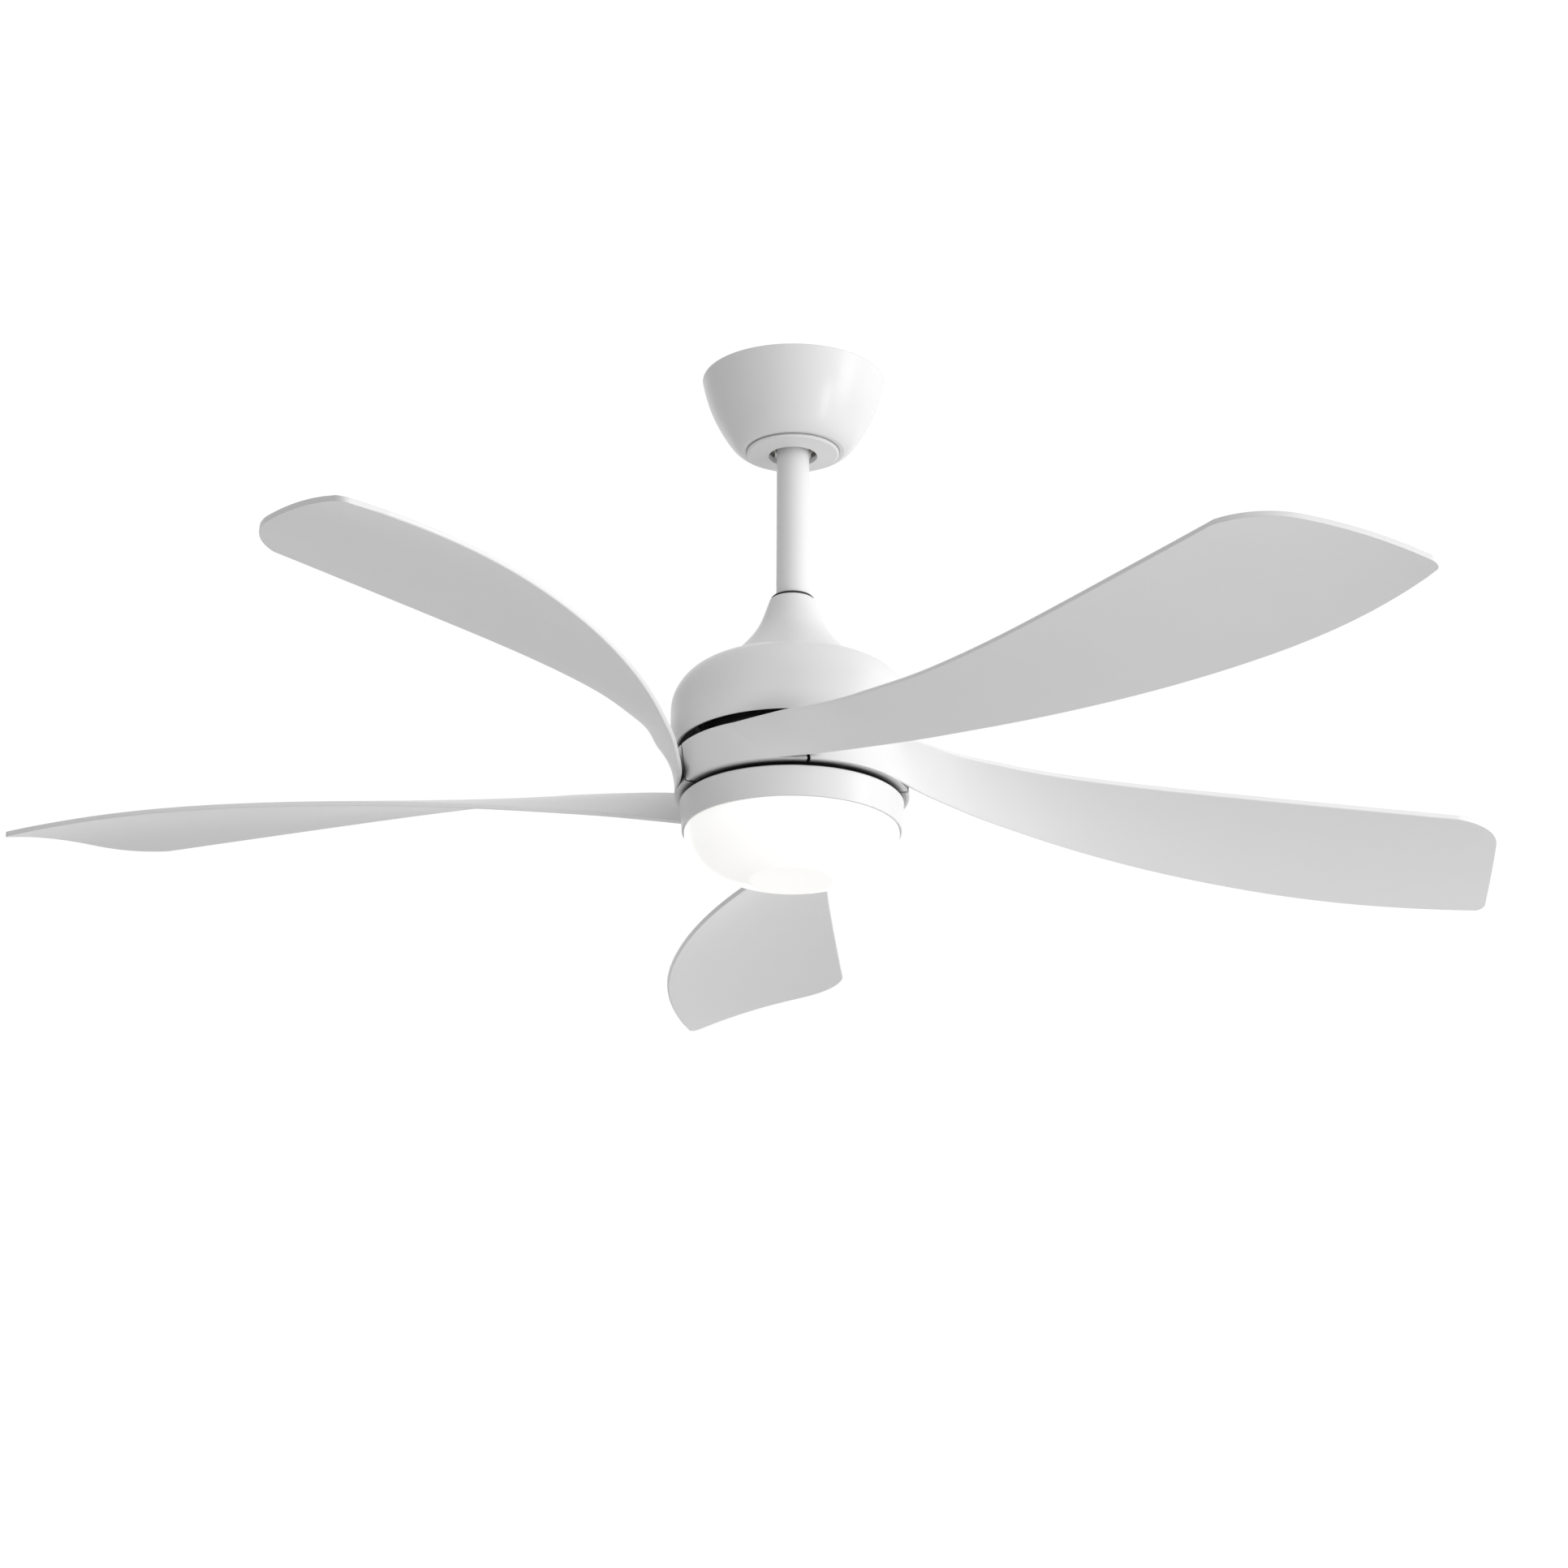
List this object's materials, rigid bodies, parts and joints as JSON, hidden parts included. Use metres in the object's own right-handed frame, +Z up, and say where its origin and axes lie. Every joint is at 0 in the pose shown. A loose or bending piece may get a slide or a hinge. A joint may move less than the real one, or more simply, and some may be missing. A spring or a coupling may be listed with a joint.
{
  "type": "ceiling fan with light",
  "caption": "Ceiling fan on a ball-hung downrod, with twisted blades that wrap the hub, and a round dome light with a twist-off diffuser below.",
  "frame": {"origin": "middle of the hanger bracket's upper face, in the plane of the ceiling", "axes": "+Z up along the fan's axis, out of the bracket's face into the ceiling; +X along the bracket's two screw slots; everything hangs at negative Z"},
  "size_m": [1.2453, 1.236, 0.4366],
  "materials": {
    "white_metal": "satin white powder coat",
    "white_blade": "satin white moulded ABS",
    "opal_diffuser": "opal white, glows when lit",
    "black_rubber": "matt black",
    "zinc_steel": "zinc plated",
    "ball_nylon": "black nylon",
    "seat_nylon": "natural nylon",
    "black_metal": "matt black paint",
    "black_alloy": "die cast, matt black paint",
    "cast_alloy": "as cast",
    "lamination": "stacked steel sheet",
    "copper_wire": "enamelled copper",
    "magnet": "sintered ferrite",
    "receiver_plastic": "moulded",
    "driver_plastic": "moulded",
    "circuit_board": "white solder mask",
    "led_phosphor": "phosphor, glows when lit",
    "lead_sheath": "insulated leads"
  },
  "bodies": {
    "ceiling_mount": {"ceiling_bracket": "zinc_steel", "canopy": "white_metal", "canopy_screws": "zinc_steel", "canopy_trim_ring": "white_metal", "ground_screw": "zinc_steel", "receiver": "receiver_plastic"},
    "ball_seat": {"ball_seat": "seat_nylon"},
    "hanging_body": {"hanger_ball": "ball_nylon", "ball_cross_pin": "zinc_steel", "ball_set_screw": "zinc_steel", "downrod": "white_metal", "yoke": "cast_alloy", "clevis_pin": "zinc_steel", "clevis_clip": "zinc_steel", "yoke_set_screws": "zinc_steel", "cover_seal": "black_rubber", "coupling_cover": "white_metal", "motor_housing": "white_metal", "housing_screws": "zinc_steel", "motor_shaft": "zinc_steel", "stator_core": "lamination", "stator_windings": "copper_wire", "bearing_inner_rings": "zinc_steel", "light_mount_plate": "zinc_steel", "light_pan": "white_metal", "bayonet_catches": "zinc_steel", "light_pan_screws": "zinc_steel", "shaft_nut": "zinc_steel", "led_driver": "driver_plastic", "led_board": "circuit_board", "led_standoffs": "zinc_steel", "led_chips": "led_phosphor", "motor_leads": "lead_sheath", "upper_lead_plug": "lead_sheath", "lower_lead_plug": "lead_sheath"},
    "rotor": {"rotor_case_top": "black_metal", "rotor_case_bottom": "black_metal", "rotor_case_screws": "zinc_steel", "rotor_magnets": "magnet", "bearing_outer_rings": "zinc_steel", "bearing_balls": "zinc_steel", "blade_hub": "black_alloy", "hub_screws": "zinc_steel", "blade_screws": "zinc_steel", "blade_1": "white_blade", "blade_2": "white_blade", "blade_3": "white_blade", "blade_4": "white_blade", "blade_5": "white_blade"},
    "diffuser": {"diffuser": "opal_diffuser"}
  },
  "joints": [
    {"name": "seat_swing", "type": "hinge", "parent": "ceiling_mount", "child": "ball_seat", "pos_m": [0, 0, -0.0405], "axis": [1, 0, 0], "range_deg": [-8, 8]},
    {"name": "ball_swing", "type": "hinge", "parent": "ball_seat", "child": "hanging_body", "pos_m": [0, 0, -0.0405], "axis": [0, 1, 0], "range_deg": [-8, 8]},
    {"name": "rotor_spin", "type": "hinge", "parent": "hanging_body", "child": "rotor", "pos_m": [0, 0, -0.294], "axis": [0, 0, 1], "continuous": true},
    {"name": "diffuser_twist", "type": "hinge", "parent": "hanging_body", "child": "diffuser", "pos_m": [0, 0, -0.3975], "axis": [0, 0, 1], "range_deg": [-30, 0]}
  ]
}
